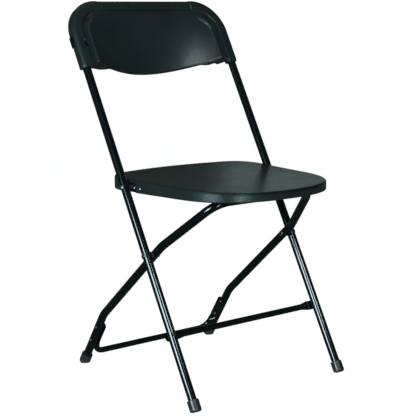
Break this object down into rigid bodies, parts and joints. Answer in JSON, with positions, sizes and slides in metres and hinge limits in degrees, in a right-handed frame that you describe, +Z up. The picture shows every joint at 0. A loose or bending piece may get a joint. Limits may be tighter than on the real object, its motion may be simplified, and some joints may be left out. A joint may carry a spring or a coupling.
{
  "type": "folding chair",
  "caption": "Steel-tube folding chair with a dished moulded plastic seat, a hollowed plastic back and crossed legs that fold flat.",
  "frame": {"origin": "on the floor, in the middle of the chair's width and depth", "axes": "+Z up; the sitter faces -Y; +X is the sitter's left, which is on the right when the chair is seen from its front"},
  "size_m": [0.4598, 0.5334, 0.8547],
  "materials": {
    "frame_paint": "gloss black powder coat",
    "rivet_paint": "gloss black paint over a domed head",
    "plated_steel": "bright zinc plate",
    "moulded_plastic": "fine-textured black polypropylene",
    "foot_plastic": "dark grey polyethylene",
    "slide_plastic": "smooth black nylon"
  },
  "bodies": {
    "front_frame": {"front_frame_tube": "frame_paint", "front_stretcher": "frame_paint", "front_stretcher_rivets": "rivet_paint", "backrest_shell": "moulded_plastic", "front_foot_left": "foot_plastic", "crossing_rivet_left": "rivet_paint", "crossing_washer_left": "plated_steel", "seat_hinge_pin_left": "plated_steel", "seat_hinge_spacer_left": "plated_steel", "backrest_clip_left": "frame_paint", "backrest_screw_left": "plated_steel", "front_foot_right": "foot_plastic", "crossing_rivet_right": "rivet_paint", "crossing_washer_right": "plated_steel", "seat_hinge_pin_right": "plated_steel", "seat_hinge_spacer_right": "plated_steel", "backrest_clip_right": "frame_paint", "backrest_screw_right": "plated_steel"},
    "rear_legs": {"rear_leg_tube": "frame_paint", "rear_stretcher": "frame_paint", "rear_stretcher_rivets": "rivet_paint", "rear_foot_left": "foot_plastic", "crossbar_sleeve_left": "slide_plastic", "rear_foot_right": "foot_plastic", "crossbar_sleeve_right": "slide_plastic"},
    "seat": {"seat_shell": "moulded_plastic", "seat_bracket_left": "frame_paint", "seat_bracket_rivets_left": "plated_steel", "slide_rail_left": "slide_plastic", "slide_rail_screws_left": "plated_steel", "seat_bracket_right": "frame_paint", "seat_bracket_rivets_right": "plated_steel", "slide_rail_right": "slide_plastic", "slide_rail_screws_right": "plated_steel"}
  },
  "joints": [
    {"name": "seat_fold", "type": "hinge", "parent": "front_frame", "child": "seat", "pos_m": [0, 0.03793, 0.4499], "axis": [-1, 0, 0], "range_deg": [0, 108.8]},
    {"name": "rear_leg_fold", "type": "hinge", "parent": "front_frame", "child": "rear_legs", "pos_m": [0, -0.03982, 0.30846], "axis": [-1, 0, 0], "range_deg": [0, 67]}
  ],
  "couplings": [
    {"joint": "rear_leg_fold", "follows": "seat_fold", "ratio": 0.6158}
  ]
}
